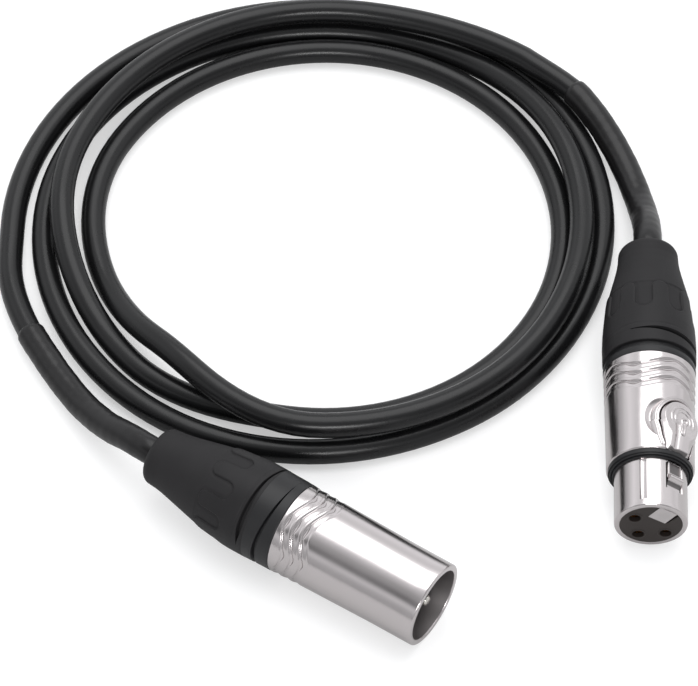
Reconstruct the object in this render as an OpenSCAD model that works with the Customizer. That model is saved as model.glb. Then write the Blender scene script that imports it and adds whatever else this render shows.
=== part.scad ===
// Microphone cable coil: one balanced audio cable wound flat, with a male and a
// female three-contact plug lying in front of the coil on the same surface.
// Units are millimetres. Z is up, and the surface that it lies on is z = 0.

/* [Cable] */

// Outer diameter of the cable jacket
cable_d = 5.5; // [4.8:0.1:5.5]
// Outer diameter of the heat-shrink sleeve at each end of the cable
sleeve_d = 6.3; // [6.1:0.1:6.4]
// Wall of the heat-shrink sleeve
sleeve_wall = 0.3; // [0.2:0.05:0.3]

/* [Coil] */

// Radius of the widest turn, at the middle of the cable
coil_r = 70; // [69.5:0.1:70.5]
// Height of the coil's middle turns above the surface, as a share of one cable
first_lane_z = 2.75; // [2.75:0.05:2.8]

/* [Plugs] */

// Length of the male plug from its mouth to the tip of its boot
male_len = 70.5; // [70:0.1:72]
// Length of the female plug from its mouth to the tip of its boot
female_len = 73.4; // [73:0.1:75]
// Radius of both metal shells at their front
shell_front_r = 9.4; // [9.3:0.05:9.5]
// Radius of both metal shells at their rear
shell_rear_r = 9.95; // [9.8:0.05:10]
// Radius of both boots at their widest
boot_r = 10.2; // [10.1:0.05:10.4]
// Radius of the bore in the male plug's mouth
mouth_bore_r = 8.05; // [7.95:0.05:8.15]
// Depth of the male plug's mouth, from the rim to the insert
mouth_depth = 15; // [14:0.5:16]
// Radius of the female plug's barrel, which enters the male mouth
barrel_r = 7.75; // [7.7:0.05:7.8]
// Length of the barrel in front of the collar ring
barrel_len = 11.9; // [11.5:0.1:12]

/* [Contacts] */

// Diameter of the male pins
pin_d = 2.4; // [2.3:0.05:2.4]
// Radius of the circle on which the three contacts sit
pin_circle_r = 4.3; // [4.2:0.05:4.4]
// Depth of the pin tips behind the male mouth's rim
pin_inset = 2.6; // [2.2:0.1:3]
// Diameter of the bore of each female contact
socket_d = 2.5; // [2.5:0.05:2.6]
// Depth of the bore of each female contact
socket_depth = 14; // [13:0.5:15]

/* [Latch] */

// Angle of the latch round the plug, from the top, seen from the mouth
latch_angle = 38; // [34:1:42]
// Radius of the disc on the latch's head
latch_head_r = 4.2; // [3.8:0.1:4.2]
// Width of the latch's arm
latch_arm_w = 3.6; // [3.2:0.1:3.8]

/* [Placement] */

// Heading of the male plug's mouth, from the X axis
male_heading = -33; // [-34:1:-32]
// Heading of the female plug's mouth, from the X axis
female_heading = -92; // [-93:1:-91]

/* [Hidden] */

$fn = 64;
eps = 0.01;
cable_r = cable_d / 2;
sleeve_r = sleeve_d / 2;

// ---- the coil's lay ----
coil_centre = [-20.6, 62.5];
// The cable turns clockwise, seen from above, from the male end to the female end.
// Each move is [from, to, outward, up]: over those degrees the cable's middle
// shifts outward and up by those millimetres.
coil_moves = [
    [0, 108, -4.7, 0],      // the male lead swings in to the outer lane
    [104, 226, -4.8, 0],    // and down the right side
    [240, 310, 2.4, 0],     // out, to leave room for the crossing
    [366, 454, -3.7, 0],    // in to the middle lane
    [474, 544, -2, 0],
    [467, 523, 0, 5],       // up on to the two lanes below
    [543, 601, 1.8, 0],
    [531, 569, 0, 1.1],
    [631, 677, -8.6, 0],    // inward over the inner lane
    [662, 707, 0, -6.1],    // and down beside it
    [689, 748, 2.8, 0],     // the inner lane
    [999, 1038, 3.1, 0],    // outward beneath the crossing
    [1041, 1102, 3.3, 0],
    [1043, 1085, 0, 6.1],   // up on to the outer lanes
    [1099, 1162, 0.6, 0],
    [1180, 1262, 10.6, 0]   // the female lead swings out
];
coil_turn = 1215;
coil_step = 15;
coil_sides = 6;
lead_sides = 8;

// ---- the free leads, from the coil to each boot ----
male_route = [
    [-90.6, 52, 2.75],
    [-89.8, 46, 2.9],
    [-88, 39.8, 3],
    [-85.3, 33.3, 3.15],
    [-81.6, 26.5, 3.2],
    [-77.6, 19.8, 3.3],
    [-72.6, 12.2, 4.2],
    [-67, 4.9, 6.8],
    [-62, -0.2, 9.5]
];
male_sleeve_from = 4;
female_first = 3;
female_route = [
    [35.6, 98.9, 8.2],
    [40.6, 92.4, 6.8],
    [44.8, 85.2, 4.8],
    [47.9, 77.6, 3.5],
    [49.8, 70.4, 3.5],
    [50.7, 63.6, 5.6],
    [50.8, 57.4, 9]
];
female_sleeve_from = 2;

// ---- stations along a plug, measured from its mouth ----
male_grip_from = 28.25;
female_grip_from = 31.35;
grip_pitch = 2.3;
ring_end = 41.3;
male_ring_from = 34.7;
female_ring_from = 38.7;
boot_widest = 43;
cavity_r = 7.6;
cavity_end = 44;
chuck_from = 44.2;
chuck_r = 6.2;
shell_bore_r = 8.7;
jacket_end = 42;
collar_len = 1.5;
shell_from = barrel_len + collar_len;
barrel_bore_r = 6.6;
barrel_end = 20;
seat_r = barrel_r - 0.05;
flange_r = 8.1;
flange_len = 2;
insert_end = 30;
male_insert_end = 25;
cable_hole_r = 3.4;
sleeve_inset = 1.5;

// ---- the latch ----
latch_pivot = [7.4, 27.3];
latch_pin_r = 0.5;
latch_head_s = 21.5;
latch_head_y = 0.4;
latch_gap = 0.45;
arm_low = 6.75;
arm_high = 7.4;
arm_front = 5.2;
hook_r = 8.5;

// ---- placement: each plug rests on its front edge and on its boot ----
male_mouth = [2.2, -43];
female_mouth = [48, -22.5];
male_front_s = 0.4;
female_front_s = shell_from + 0.4;
function rest_tilt(front_s) = atan((boot_r - shell_front_r) / (boot_widest - front_s));
male_tilt = rest_tilt(male_front_s);
female_tilt = rest_tilt(female_front_s);
male_mouth_z = shell_front_r * cos(male_tilt) - male_front_s * sin(male_tilt);
female_mouth_z = shell_front_r * cos(female_tilt) - female_front_s * sin(female_tilt);

function backward(heading, tilt) =
    [-cos(heading) * cos(tilt), -sin(heading) * cos(tilt), sin(tilt)];
function male_at(s) =
    [male_mouth.x, male_mouth.y, male_mouth_z] + s * backward(male_heading, male_tilt);
function female_at(s) =
    [female_mouth.x, female_mouth.y, female_mouth_z] + s * backward(female_heading, female_tilt);

// ---- functions ----
function unit(v) = v / norm(v);
function ease(u) = let(c = min(1, max(0, u))) c * c * (3 - 2 * c);
function sum(list, i = 0) = i >= len(list) ? 0 : list[i] + sum(list, i + 1);
function moved(turn, column) =
    sum([for (m = coil_moves) m[column] * ease((turn - m[0]) / (m[1] - m[0]))]);
function coil_point(turn) =
    let(r = coil_r + moved(turn, 2), a = 180 - turn)
    [coil_centre.x + r * cos(a), coil_centre.y + r * sin(a), first_lane_z + moved(turn, 3)];
function tangent(p, i) = unit(p[min(i + 1, len(p) - 1)] - p[max(i - 1, 0)]);
function tube_ring(p, i, r, sides) =
    let(t = tangent(p, i), reference = abs(t.z) > 0.8 ? [1, 0, 0] : [0, 0, 1],
        across = unit(cross(t, reference)), up = cross(across, t))
    [for (k = [0:sides - 1]) p[i] + r * (across * sin(360 * k / sides) - up * cos(360 * k / sides))];
function band(a, b, sides) =
    [for (k = [0:sides - 1]) let(n = (k + 1) % sides)
        each [[a + k, a + n, b + n], [a + k, b + n, b + k]]];
function cap(first, sides) = [for (k = [1:sides - 2]) [first, first + k, first + k + 1]];
function flip(faces) = [for (f = faces) [f[0], f[2], f[1]]];
function arc(centre, r, from, to, n) =
    [for (i = [0:n]) let(a = from + (to - from) * i / n) centre + r * [cos(a), sin(a)]];

coil_run = [for (turn = [0:coil_step:coil_turn]) coil_point(turn)];
coil_start = coil_point(0) - cable_d * unit(coil_point(1) - coil_point(0));
coil_end = coil_point(coil_turn) + cable_d * unit(coil_point(coil_turn) - coil_point(coil_turn - 1));
coil_path = concat([coil_start], coil_run, [coil_end]);
male_path = concat([coil_start], male_route,
    [male_at(male_len + 1), male_at(male_len - sleeve_inset), male_at(60), male_at(jacket_end)]);
female_path = concat([coil_end, coil_end + female_first * tangent(coil_path, len(coil_path) - 1)],
    female_route,
    [female_at(female_len + 1), female_at(female_len - sleeve_inset), female_at(60), female_at(jacket_end)]);

function path_length(p) = sum([for (i = [1:len(p) - 1]) norm(p[i] - p[i - 1])]);
// The least gap between two stretches of the coil that are half a turn or more apart
gap_turns = [for (turn = [0:3:coil_turn]) turn];
gap_points = [for (turn = gap_turns) coil_point(turn)];
least_gap = min([for (i = [0:len(gap_points) - 1]) for (j = [i + 60:len(gap_points) - 1])
    if (j < len(gap_points)) norm(gap_points[i] - gap_points[j])]) - cable_d;
echo(least_gap_in_coil = least_gap);
echo(cable_length = path_length(coil_path) + path_length(male_path) + path_length(female_path));

// ================= shared building blocks =================

// A tube swept along a path
module swept_tube(path, r, sides) {
    last = len(path) - 1;
    points = [for (i = [0:last]) each tube_ring(path, i, r, sides)];
    faces = concat(
        flip(cap(0, sides)),
        [for (i = [0:last - 1]) each band(i * sides, (i + 1) * sides, sides)],
        cap(last * sides, sides));
    polyhedron(points, faces, convexity = 12);
}

// A hollow tube swept along a path
module swept_sleeve(path, r_out, r_in, sides) {
    last = len(path) - 1;
    inner = (last + 1) * sides;
    points = concat(
        [for (i = [0:last]) each tube_ring(path, i, r_out, sides)],
        [for (i = [0:last]) each tube_ring(path, i, r_in, sides)]);
    faces = concat(
        [for (i = [0:last - 1]) each band(i * sides, (i + 1) * sides, sides)],
        [for (i = [0:last - 1]) each flip(band(inner + i * sides, inner + (i + 1) * sides, sides))],
        flip(band(0, inner, sides)),
        band(last * sides, inner + last * sides, sides));
    polyhedron(points, faces, convexity = 12);
}

// Puts a plug that is drawn along +Z, from its mouth, in its place
module placed(mouth, mouth_z, heading, tilt) {
    translate([mouth.x, mouth.y, mouth_z])
        rotate([0, 90 - tilt, heading + 180])
            children();
}

module male_placed() {
    placed(male_mouth, male_mouth_z, male_heading, male_tilt) children();
}

module female_placed() {
    placed(female_mouth, female_mouth_z, female_heading, female_tilt) children();
}

// Turns +X of what follows to an angle from the plug's top, seen from the mouth
module at_angle(angle) {
    rotate([0, 0, angle + 180]) children();
}

// A solid of revolution from [radius, station] points
module turned(profile) {
    rotate_extrude() polygon(profile);
}

// A ring between two stations
module ring(r_out, r_in, from, to) {
    turned([[r_in, from], [r_out, from], [r_out, to], [r_in, to]]);
}

// A round bar between two points
module bar(from, to, r) {
    along = to - from;
    translate(from)
        rotate([0, acos(along.z / norm(along)), atan2(along.y, along.x)])
            cylinder(h = norm(along), r = r, $fn = 32);
}

// The three contact places, from the latch's or the latch recess's angle
contact_angles = [-93, 94, 178];
module each_contact(zero, mirror_sign) {
    for (a = contact_angles)
        at_angle(zero + mirror_sign * a)
            translate([pin_circle_r, 0, 0])
                children();
}

// One grip groove: a ring groove that leans along the plug
module leaning_groove(station, ring_r, wire_r, lean, angle) {
    translate([0, 0, station])
        at_angle(angle)
            rotate([0, lean, 0])
                rotate_extrude() translate([ring_r, 0]) circle(r = wire_r, $fn = 24);
}

// ================= cable =================

module cable_coil() {
    color([0.08, 0.08, 0.09]) swept_tube(coil_path, cable_r, coil_sides);
}

module male_lead() {
    color([0.08, 0.08, 0.09]) swept_tube(male_path, cable_r, lead_sides);
}

module female_lead() {
    color([0.08, 0.08, 0.09]) swept_tube(female_path, cable_r, lead_sides);
}

module male_heat_shrink() {
    path = [for (i = [male_sleeve_from:len(male_route) + 2]) male_path[i]];
    color([0.05, 0.05, 0.05]) swept_sleeve(path, sleeve_r, sleeve_r - sleeve_wall, lead_sides);
}

module female_heat_shrink() {
    path = [for (i = [female_sleeve_from:len(female_route) + 3]) female_path[i]];
    color([0.05, 0.05, 0.05]) swept_sleeve(path, sleeve_r, sleeve_r - sleeve_wall, lead_sides);
}

// ================= both plugs =================

// Outline of the raised outer surface of the bushing, over its skirt
function skirt_profile(to) = [[boot_r, ring_end + 0.4], [boot_r, boot_widest + 2],
    [boot_r - 0.3, 50], [boot_r - 1.2, to]];
skin = 0.45;
finger_count = 8;
finger_w = 3.9;
solid_to = 46;

// Straight radial slabs with one round end, which shape the fingers and the gaps
module slab(width, from, to, round_at) {
    translate([0, -width / 2, from])
        cube([boot_r + 3, width, to - from]);
    translate([0, 0, round_at])
        rotate([0, 90, 0])
            cylinder(h = boot_r + 3, d = width, $fn = 32);
}

// The hard bushing: its thread reaches forward into the shell as far as the insert,
// and its skirt ends in fingers that lie over the soft boot
module bushing(thread_from, gaps_from, fingers_to, phase) {
    thread_r = shell_bore_r - 0.05;
    front = concat([[cavity_r, thread_from], [thread_r, thread_from], [thread_r, ring_end],
        [boot_r - 0.25, ring_end]], [for (i = [0:1]) skirt_profile(fingers_to)[i]],
        [[boot_r - 0.06, solid_to], [cavity_r, solid_to]]);
    skirt = [for (p = skirt_profile(fingers_to + 0.1)) if (p.y > solid_to) p];
    difference() {
        turned(front);
        leaning_groove(ring_end + 1.3, boot_r + 0.35, 0.6, -3, -27);
    }
    intersection() {
        difference() {
            turned(concat([[boot_r - 0.06 - skin, solid_to], [boot_r - 0.06, solid_to]], skirt,
                [for (i = [len(skirt) - 1:-1:0]) skirt[i] - [skin, 0]]));
            for (i = [0:finger_count - 1])
                at_angle(phase + (i + 0.5) * 360 / finger_count)
                    slab(finger_w, gaps_from + finger_w / 2, fingers_to + 1,
                        gaps_from + finger_w / 2);
        }
        union() {
            ring(boot_r + 1, 6, solid_to - 1, gaps_from + 1);
            for (i = [0:finger_count - 1])
                at_angle(phase + i * 360 / finger_count)
                    slab(finger_w, gaps_from, fingers_to - finger_w / 2,
                        fingers_to - finger_w / 2);
        }
    }
}

// The soft boot: it runs under the bushing's skirt and tapers to the cable hole
module soft_boot(fingers_to, length) {
    tip_r = 3;
    skirt = [for (p = skirt_profile(fingers_to + 0.1)) if (p.y > solid_to) p - [skin, 0]];
    turned(concat(
        [[cavity_r, solid_to], [boot_r - 0.06 - skin, solid_to]],
        skirt,
        [[6.75, length - 5]],
        arc([cable_hole_r, length - tip_r], tip_r, 8, 90, 5),
        [[cable_hole_r, length - 9], [chuck_r + 0.1, 56], [chuck_r + 0.1, 50], [cavity_r, 50]]));
}

// The slotted chuck that the bushing squeezes on to the cable
module chuck() {
    slot_w = 1;
    difference() {
        turned([[cable_r, chuck_from], [chuck_r, chuck_from], [chuck_r, 50], [4.6, 55],
                [cable_r, 55]]);
        for (a = [0:45:135])
            rotate([0, 0, a])
                translate([-chuck_r - 1, -slot_w / 2, 46.5])
                    cube([2 * chuck_r + 2, slot_w, 9]);
    }
}

// One insulated conductor from a solder cup back to the end of the jacket
wire_sides = 8;
module conductor(angle, cup_end) {
    at_angle(angle)
        swept_tube([[pin_circle_r, 0, cup_end - 2.5], [pin_circle_r, 0, cup_end + 1],
            [3.7, 0, cup_end + 3], [1.3, 0, jacket_end - 2.5], [1.2, 0, jacket_end - 1.5],
            [1.2, 0, jacket_end]], 0.75, wire_sides);
}

// The cable's bare drain wire, from its solder cup to the end of the jacket
module drain_wire(angle, cup_end) {
    at_angle(angle)
        swept_tube([[pin_circle_r, 0, cup_end - 2.5], [pin_circle_r, 0, cup_end + 1.5],
            [3.6, 0, cup_end + 3.5], [1.5, 0, jacket_end - 2.5], [1.4, 0, jacket_end - 1.5],
            [1.4, 0, jacket_end]], 0.5, wire_sides);
}

// ================= male plug =================

male_zero = 54;
male_cup_end = 31;
rim_round = 0.4;

module male_shell() {
    key_w = 2.2;
    color([0.78, 0.77, 0.75]) male_placed() {
        difference() {
            turned([[mouth_bore_r + 0.3, 0], [shell_front_r - rim_round, 0],
                [shell_front_r, rim_round], [shell_front_r, 10], [9.7, 27],
                [shell_rear_r, male_ring_from], [shell_bore_r, male_ring_from],
                [shell_bore_r, mouth_depth], [mouth_bore_r, mouth_depth], [mouth_bore_r, 0.3]]);
            for (i = [0:2])
                leaning_groove(male_grip_from + grip_pitch * i, 9.95, 0.6, 0, 0);
            // recess that the female plug's hook drops into
            at_angle(male_zero)
                translate([mouth_bore_r - 1, -2.4, 4.9])
                    cube([1.75, 4.8, 3.8]);
        }
        // key that runs in the barrel's keyway
        intersection() {
            at_angle(male_zero + 53)
                translate([mouth_bore_r - 0.9, -key_w / 2, 5])
                    cube([1.4, key_w, mouth_depth - 5]);
            ring(mouth_bore_r + 0.2, 6.6, 0, mouth_depth);
        }
    }
}

pin_root_r = pin_d / 2 + 0.4;

module male_insert() {
    color([0.10, 0.08, 0.07]) male_placed()
        difference() {
            ring(shell_bore_r - 0.05, 0, mouth_depth, male_insert_end);
            each_contact(male_zero, 1)
                translate([0, 0, mouth_depth - 2])
                    cylinder(h = male_insert_end - mouth_depth + 4, r = pin_root_r);
        }
}

module male_pins() {
    tip = 0.7;
    cup_depth = 4;
    color([0.80, 0.78, 0.72]) male_placed()
        each_contact(male_zero, 1)
            difference() {
                rotate_extrude()
                    polygon(concat([[0, pin_inset]],
                        arc([pin_d / 2 - tip, pin_inset + tip], tip, -90, 0, 5),
                        [[pin_d / 2, mouth_depth], [pin_root_r, mouth_depth],
                         [pin_root_r, male_cup_end], [0, male_cup_end]]));
                translate([0, 0, male_cup_end - cup_depth])
                    cylinder(h = cup_depth + 1, r = 0.8);
            }
}

module male_ground_tab() {
    color([0.70, 0.60, 0.35]) male_placed()
        at_angle(male_zero - 93)
            difference() {
                union() {
                    translate([2.4, -1.9, male_insert_end]) cube([4.8, 3.8, 0.4]);
                    translate([6.8, -1.5, male_insert_end]) cube([0.4, 3, 3.5]);
                }
                translate([pin_circle_r, 0, male_insert_end - 1]) cylinder(h = 3, r = pin_root_r);
            }
}

// The colour-coding ring between a shell and its bushing, with one leaning groove
module coding_ring(from, groove_at) {
    difference() {
        turned([[shell_bore_r, from], [shell_rear_r, from], [boot_r - 0.1, from + 0.5],
            [boot_r - 0.1, ring_end], [shell_bore_r, ring_end]]);
        leaning_groove(groove_at, boot_r + 0.2, 0.45, -3, -27);
    }
}

module male_ring() {
    color([0.12, 0.12, 0.12]) male_placed() coding_ring(male_ring_from, male_ring_from + 2.3);
}

module male_boot() {
    color([0.14, 0.14, 0.15]) male_placed() bushing(male_insert_end, 47, 55.5, -6);
}

module male_boot_sleeve() {
    color([0.16, 0.16, 0.17]) male_placed() soft_boot(55.5, male_len);
}

module male_chuck() {
    color([0.75, 0.75, 0.72]) male_placed() chuck();
}

module male_conductors() {
    color([0.70, 0.10, 0.10]) male_placed() {
        conductor(male_zero + 94, male_cup_end);
        conductor(male_zero + 178, male_cup_end);
    }
}

module male_drain_wire() {
    color([0.75, 0.50, 0.35]) male_placed() drain_wire(male_zero - 93, male_cup_end);
}

// ================= female plug =================

female_cup_end = 33;
contact_r = 1.75;
notch_w = 4.4;
notch_floor = 2.7;

// The opening in the shell that the latch's head lies in, with an even gap round it
module latch_outline(gap) {
    head_r = latch_head_r + gap;
    neck_w = latch_arm_w + 1.4 + 2 * gap;
    lip_w = 5.2 + 2 * gap;
    at_angle(latch_angle) {
        translate([0, latch_head_y, latch_head_s])
            rotate([0, 90, 0])
                cylinder(h = boot_r + 3, r = head_r);
        translate([0, -neck_w / 2, shell_from - 1])
            cube([boot_r + 3, neck_w, latch_head_s - shell_from + 1]);
        rotate([0, 90, 0])
            linear_extrude(boot_r + 3)
                polygon([[-shell_from + 1, -lip_w / 2], [-shell_from + 1, lip_w / 2],
                    [-shell_from, lip_w / 2], [-shell_from - 3, neck_w / 2],
                    [-shell_from - 3, -neck_w / 2], [-shell_from, -lip_w / 2]]);
    }
}

module female_shell() {
    outside = [[seat_r, shell_from], [shell_front_r - rim_round, shell_from],
        [shell_front_r, shell_from + rim_round], [shell_front_r + 0.05, 20],
        [shell_rear_r, female_ring_from], [shell_bore_r, female_ring_from],
        [shell_bore_r, barrel_end + flange_len], [flange_r, barrel_end + flange_len],
        [flange_r, barrel_end], [seat_r, barrel_end]];
    rim = 0.3;
    color([0.78, 0.77, 0.75]) female_placed()
        difference() {
            union() {
                turned(outside);
                // raised rim round the latch
                intersection() {
                    turned([[shell_bore_r + 0.2, 15], [shell_front_r + rim, 15],
                        [shell_front_r + rim + 0.1, 27.5], [shell_bore_r + 0.2, 27.5]]);
                    latch_outline(1.5);
                }
            }
            latch_outline(latch_gap);
            for (i = [0:2])
                leaning_groove(female_grip_from + grip_pitch * i, 10, 0.6, 0, 0);
            // thumb scoop beside the latch
            at_angle(8)
                translate([shell_front_r + 8.5, 0, 21.3])
                    sphere(r = 9);
        }
}

module female_barrel() {
    key_w = 1.5;
    color([0.78, 0.77, 0.75]) female_placed()
        difference() {
            turned([[barrel_bore_r, 0], [barrel_r - 0.35, 0], [barrel_r, 0.35],
                [barrel_r, barrel_len], [seat_r, barrel_len], [seat_r, barrel_end],
                [flange_r, barrel_end],
                [flange_r, barrel_end + flange_len], [barrel_bore_r, barrel_end + flange_len]]);
            // window for the latch's arm and hook
            at_angle(latch_angle)
                translate([barrel_bore_r - 1, -latch_arm_w / 2 - 0.25, 4.9])
                    cube([4, latch_arm_w + 0.5, barrel_end + flange_len - 3.9]);
            // keyway
            at_angle(latch_angle - 53)
                translate([barrel_r - 0.6, -key_w / 2, 1.6])
                    cube([1, key_w, barrel_len - 1]);
        }
}

module female_collar_ring() {
    color([0.10, 0.10, 0.10]) female_placed()
        turned([[seat_r, barrel_len], [8, barrel_len], [8.15, barrel_len + 0.4],
            [8.6, barrel_len + 0.5], [8.9, barrel_len + 1.1], [8.9, shell_from],
            [seat_r, shell_from]]);
}

module female_insert() {
    flange_from = barrel_end + flange_len;
    color([0.10, 0.08, 0.07]) female_placed()
        difference() {
            union() {
                ring(barrel_bore_r, 0, 0, flange_from + eps);
                ring(shell_bore_r - 0.05, 0, flange_from, insert_end);
            }
            at_angle(latch_angle)
                translate([notch_floor, -notch_w / 2, -1])
                    cube([8, notch_w, insert_end + 2]);
            each_contact(latch_angle, 1) {
                translate([0, 0, -1]) cylinder(h = 3, d = socket_d);
                translate([0, 0, 1]) cylinder(h = insert_end + 1, r = contact_r);
            }
            at_angle(latch_angle) {
                bar([latch_pivot.x, -4, latch_pivot.y], [latch_pivot.x, 4, latch_pivot.y],
                    latch_pin_r);
                // room for the latch's disc as it is pressed
                translate([7.9, -5, flange_from - 1]) cube([3, 10, 4.9]);
            }
        }
}

module female_contacts() {
    cup_depth = 4;
    color([0.80, 0.68, 0.40]) female_placed()
        each_contact(latch_angle, 1)
            difference() {
                translate([0, 0, 1]) cylinder(h = insert_end, r = contact_r);
                translate([0, 0, 0]) cylinder(h = socket_depth + 1, d = socket_d);
                translate([0, 0, insert_end + 1 - cup_depth]) cylinder(h = cup_depth + 1, r = 0.8);
            }
}

module female_ground_tab() {
    color([0.70, 0.60, 0.35]) female_placed()
        at_angle(latch_angle - 93)
            difference() {
                union() {
                    translate([2.2, -1.9, insert_end]) cube([5, 3.8, 0.4]);
                    translate([6.8, -1.5, insert_end]) cube([0.4, 3, 3.5]);
                }
                translate([pin_circle_r, 0, insert_end - 1]) cylinder(h = 3, r = contact_r);
            }
}

// ================= latch =================

// The rocking lever: a hook at the front, an arm inside the barrel, and a thumb
// disc that stands in the shell's opening
module latch() {
    half = latch_arm_w / 2;
    boss_r = 1.05;
    boss_to = 0.8;
    head_low = 8.5;
    head_high = 9.95;
    color([0.75, 0.74, 0.72]) female_placed()
        at_angle(latch_angle)
            difference() {
                union() {
                    translate([arm_low, -half, arm_front])
                        cube([arm_high - arm_low, latch_arm_w, 25.9 - arm_front]);
                    translate([arm_low, -half, 25.5])
                        cube([arm_high - arm_low, half + boss_to, latch_pivot.y - 25.5]);
                    translate([latch_pivot.x, -half, latch_pivot.y])
                        rotate([-90, 0, 0])
                            cylinder(h = half + boss_to, r = boss_r);
                    // hook, with a ramp toward the mouth
                    rotate([90, 0, 0])
                        translate([0, 0, -half])
                            linear_extrude(latch_arm_w)
                                polygon([[arm_low, arm_front], [arm_high, arm_front],
                                    [hook_r, 7.2], [hook_r, 8.3], [arm_low, 8.3]]);
                    // riser from the arm to the head
                    translate([arm_high - eps, -half, 15.5])
                        cube([head_low - arm_high + 0.2, latch_arm_w, 9.3]);
                    intersection() {
                        translate([head_low, latch_head_y, latch_head_s])
                            rotate([0, 90, 0])
                                cylinder(h = head_high - head_low, r = latch_head_r);
                        ring(head_high + 0.5, head_low, 0, 40);
                    }
                    translate([head_low, -half - 0.7, 16.4])
                        cube([head_high - head_low - 0.3, latch_arm_w + 1.4, 3]);
                    // front lip
                    translate([head_low, 0, 0])
                        rotate([0, 90, 0])
                            linear_extrude(0.8)
                                polygon([[-13.7, -2.4], [-13.7, 2.4], [-16.6, 2.3], [-16.6, -2.3]]);
                }
                translate([latch_pivot.x, -3, latch_pivot.y])
                    rotate([-90, 0, 0])
                        cylinder(h = 6, r = latch_pin_r + 0.05);
                // hollow for the thumb, and the drop-shaped well in the disc
                translate([head_high + 6.6, latch_head_y, latch_head_s])
                    sphere(r = 7);
                translate([head_high - 0.7, latch_head_y, latch_head_s - 0.6])
                    rotate([0, 90, 0])
                        cylinder(h = 2, r = 0.9, $fn = 32);
            }
}

module latch_pin() {
    color([0.75, 0.75, 0.75]) female_placed()
        at_angle(latch_angle)
            bar([latch_pivot.x, -3.5, latch_pivot.y], [latch_pivot.x, 3.5, latch_pivot.y],
                latch_pin_r);
}

// The torsion spring round the pin, with a leg under the arm
module latch_spring() {
    wire_r = 0.2;
    turn_r = 0.75;
    color([0.60, 0.60, 0.62]) female_placed()
        at_angle(latch_angle) {
            for (i = [0:2])
                translate([latch_pivot.x, 1.15 + 2 * wire_r * i, latch_pivot.y])
                    rotate([90, 0, 0])
                        rotate_extrude() translate([turn_r, 0]) circle(r = wire_r, $fn = 16);
            bar([latch_pivot.x - turn_r, 1.15, latch_pivot.y],
                [arm_low - 0.5, 1.15, latch_pivot.y - 2.6], wire_r);
            bar([latch_pivot.x - turn_r, 1.95, latch_pivot.y],
                [latch_pivot.x - turn_r - 0.3, 1.95, insert_end - 0.3], wire_r);
        }
}

// ================= rear of the female plug =================

module female_ring() {
    color([0.12, 0.12, 0.12]) female_placed() coding_ring(female_ring_from, female_ring_from + 1.4);
}

module female_boot() {
    color([0.14, 0.14, 0.15]) female_placed() bushing(insert_end, 49, 60.5, -10);
}

module female_boot_sleeve() {
    color([0.16, 0.16, 0.17]) female_placed() soft_boot(60.5, female_len);
}

module female_chuck() {
    color([0.75, 0.75, 0.72]) female_placed() chuck();
}

module female_conductors() {
    color([0.70, 0.10, 0.10]) female_placed() {
        conductor(latch_angle + 94, insert_end + 1);
        conductor(latch_angle + 178, insert_end + 1);
    }
}

module female_drain_wire() {
    color([0.75, 0.50, 0.35]) female_placed() drain_wire(latch_angle - 93, insert_end + 1);
}

cable_coil();
male_lead();
female_lead();
male_heat_shrink();
female_heat_shrink();
male_shell();
male_insert();
male_pins();
male_ground_tab();
male_ring();
male_boot();
male_boot_sleeve();
male_chuck();
male_conductors();
male_drain_wire();
female_shell();
female_barrel();
female_collar_ring();
female_insert();
female_contacts();
female_ground_tab();
latch();
latch_pin();
latch_spring();
female_ring();
female_boot();
female_boot_sleeve();
female_chuck();
female_conductors();
female_drain_wire();
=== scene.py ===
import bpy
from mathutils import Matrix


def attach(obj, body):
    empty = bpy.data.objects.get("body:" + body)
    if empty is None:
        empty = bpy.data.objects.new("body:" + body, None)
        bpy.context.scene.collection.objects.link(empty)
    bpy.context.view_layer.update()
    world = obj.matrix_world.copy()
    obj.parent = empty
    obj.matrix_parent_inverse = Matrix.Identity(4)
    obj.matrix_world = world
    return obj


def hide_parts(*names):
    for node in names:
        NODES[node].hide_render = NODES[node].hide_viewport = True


bl_info = {
    "name": "Microphone cable coil",
    "version": (1, 0, 0),
    "blender": (4, 5, 0),
    "location": "View3D > Sidebar > Cable Coil",
    "description": "Dresses a coiled microphone cable with its two three-contact plugs",
    "category": "Object",
}

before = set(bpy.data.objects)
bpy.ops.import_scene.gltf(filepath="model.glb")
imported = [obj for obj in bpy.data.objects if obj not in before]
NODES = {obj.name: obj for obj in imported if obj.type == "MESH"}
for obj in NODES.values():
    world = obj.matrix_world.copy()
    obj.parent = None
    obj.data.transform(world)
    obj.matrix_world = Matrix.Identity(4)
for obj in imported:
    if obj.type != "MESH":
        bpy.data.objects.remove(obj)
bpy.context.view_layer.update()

from math import atan, atan2, cos, degrees, exp, hypot, pi, radians, sin, sqrt

import bmesh
import bpy
from bpy.props import FloatProperty, FloatVectorProperty
from mathutils import Matrix, Vector

MM = 0.001
CABLE_BODY = "cable"
LATCH_BODY = "latch_lever"

# ---- places shared with the solids, in millimetres and degrees ----
SHELL_FRONT_R = 9.4
SHELL_BORE_R = 8.7
MOUTH_R = 8.05
COLLAR_R = 7.7
BARREL_R = 7.75
BARREL_BORE_R = 6.6
BOOT_R = 10.2
BOOT_WIDEST = 43
MALE_LEN = 70.5
FEMALE_LEN = 73.4
MALE_MOUTH = (2.2, -43.0)
FEMALE_MOUTH = (48.0, -22.5)
MALE_HEADING = -33
FEMALE_HEADING = -92
MALE_FRONT_S = 0.4
FEMALE_FRONT_S = 13.8
LATCH_ANGLE = 38
# Angles from the latch: the keyway ahead of it, and the contacts after it
KEY_OFFSET = 53
CONTACT_OFFSETS = (94, 178, 267)
CONTACT_CIRCLE_R = 4.3

COIL_CENTRE = (-20.6, 62.5)
COIL_R = 70
LANE_Z = 2.75
COIL_END_TURN = 1215
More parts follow.
